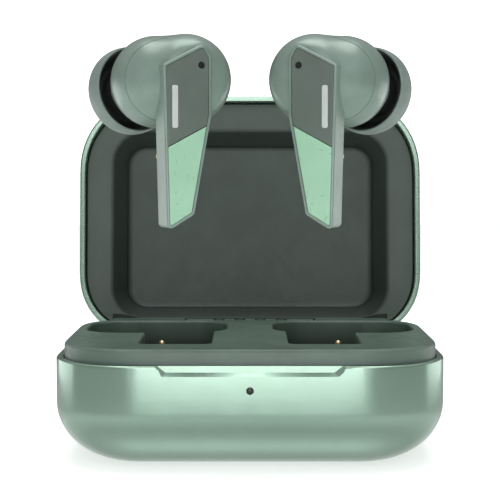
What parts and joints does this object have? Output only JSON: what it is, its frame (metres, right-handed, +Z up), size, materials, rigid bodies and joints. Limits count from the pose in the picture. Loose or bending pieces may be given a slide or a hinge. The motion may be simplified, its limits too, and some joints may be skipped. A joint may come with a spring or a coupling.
{
  "type": "wireless earbuds case",
  "caption": "Pocket charging case with a hinged lid, a tray with charging pins, and a pair of stem earbuds that swing between a display position and their wells.",
  "frame": {"origin": "centre of the case's flat underside, on the surface that it stands on", "axes": "+Z up, -Y towards the front of the case with the status light, +X to the right seen from the front"},
  "size_m": [0.065, 0.0704, 0.0691],
  "materials": {
    "sage_paint": "satin metallic sage lacquer on a moulded shell",
    "tray_plastic": "fine satin texture, dark green",
    "liner_plastic": "fine matt texture, dark green",
    "light_lens": "smoked clear",
    "circuit_board": "solder mask",
    "chip_black": "moulded epoxy",
    "cell_foil": "foil pouch",
    "foam_black": "closed-cell foam",
    "steel": "plain",
    "magnet_nickel": "nickel plate",
    "contact_gold": "gold plate",
    "bud_green": "satin, grey green",
    "face_grey_green": "fine matt texture",
    "mint_panel": "satin mint",
    "accent_silver": "satin silver",
    "silicone": "soft matt silicone"
  },
  "bodies": {
    "base": {"base_shell": "sage_paint", "base_deck": "tray_plastic", "led_lens": "light_lens", "main_pcb": "circuit_board", "pcb_chips": "chip_black", "battery": "cell_foil", "battery_pad": "foam_black", "usb_c_port": "steel", "usb_c_tongue": "chip_black", "hall_sensor": "chip_black", "base_screws": "steel", "latch_magnets": "magnet_nickel", "cradle_magnets": "magnet_nickel", "pin_barrels": "contact_gold", "pin_flex": "circuit_board", "hinge_pin": "steel", "hinge_spring": "steel"},
    "lid": {"lid_shell": "sage_paint", "lid_liner": "liner_plastic", "lid_magnets": "magnet_nickel", "lid_bumpers": "foam_black"},
    "bud_left": {"bud_left_front_shell": "bud_green", "bud_left_rear_housing": "bud_green", "bud_left_face_plate": "face_grey_green", "bud_left_lower_panel": "mint_panel", "bud_left_accent_bar": "accent_silver", "bud_left_mic_mesh": "steel", "bud_left_ear_tip": "silicone", "bud_left_nozzle_mesh": "steel", "bud_left_driver": "steel", "bud_left_cell": "cell_foil", "bud_left_board": "circuit_board", "bud_left_contacts": "contact_gold", "bud_left_magnet": "magnet_nickel"},
    "bud_right": {"bud_right_front_shell": "bud_green", "bud_right_rear_housing": "bud_green", "bud_right_face_plate": "face_grey_green", "bud_right_lower_panel": "mint_panel", "bud_right_accent_bar": "accent_silver", "bud_right_mic_mesh": "steel", "bud_right_ear_tip": "silicone", "bud_right_nozzle_mesh": "steel", "bud_right_driver": "steel", "bud_right_cell": "cell_foil", "bud_right_board": "circuit_board", "bud_right_contacts": "contact_gold", "bud_right_magnet": "magnet_nickel"},
    "pin_left_outer": {"pin_left_outer": "contact_gold"},
    "pin_left_inner": {"pin_left_inner": "contact_gold"},
    "pin_right_inner": {"pin_right_inner": "contact_gold"},
    "pin_right_outer": {"pin_right_outer": "contact_gold"}
  },
  "joints": [
    {"name": "lid_hinge", "type": "hinge", "parent": "base", "child": "lid", "pos_m": [0, 0.0212, 0.0184], "axis": [1, 0, 0], "range_deg": [0, 96]},
    {"name": "bud_left_swing", "type": "hinge", "parent": "base", "child": "bud_left", "pos_m": [0, -0.031, 0.0205], "axis": [0.9981, 0.061, 0], "range_deg": [-90, 0]},
    {"name": "bud_right_swing", "type": "hinge", "parent": "base", "child": "bud_right", "pos_m": [0, -0.031, 0.0205], "axis": [0.9981, -0.061, 0], "range_deg": [-90, 0]},
    {"name": "pin_left_outer_travel", "type": "slide", "parent": "base", "child": "pin_left_outer", "axis": [0, 0, 1], "range_m": [-0.0008, 0], "stiffness_N_per_m": 400, "springref_m": 0.0003},
    {"name": "pin_left_inner_travel", "type": "slide", "parent": "base", "child": "pin_left_inner", "axis": [0, 0, 1], "range_m": [-0.0008, 0], "stiffness_N_per_m": 400, "springref_m": 0.0003},
    {"name": "pin_right_inner_travel", "type": "slide", "parent": "base", "child": "pin_right_inner", "axis": [0, 0, 1], "range_m": [-0.0008, 0], "stiffness_N_per_m": 400, "springref_m": 0.0003},
    {"name": "pin_right_outer_travel", "type": "slide", "parent": "base", "child": "pin_right_outer", "axis": [0, 0, 1], "range_m": [-0.0008, 0], "stiffness_N_per_m": 400, "springref_m": 0.0003}
  ]
}
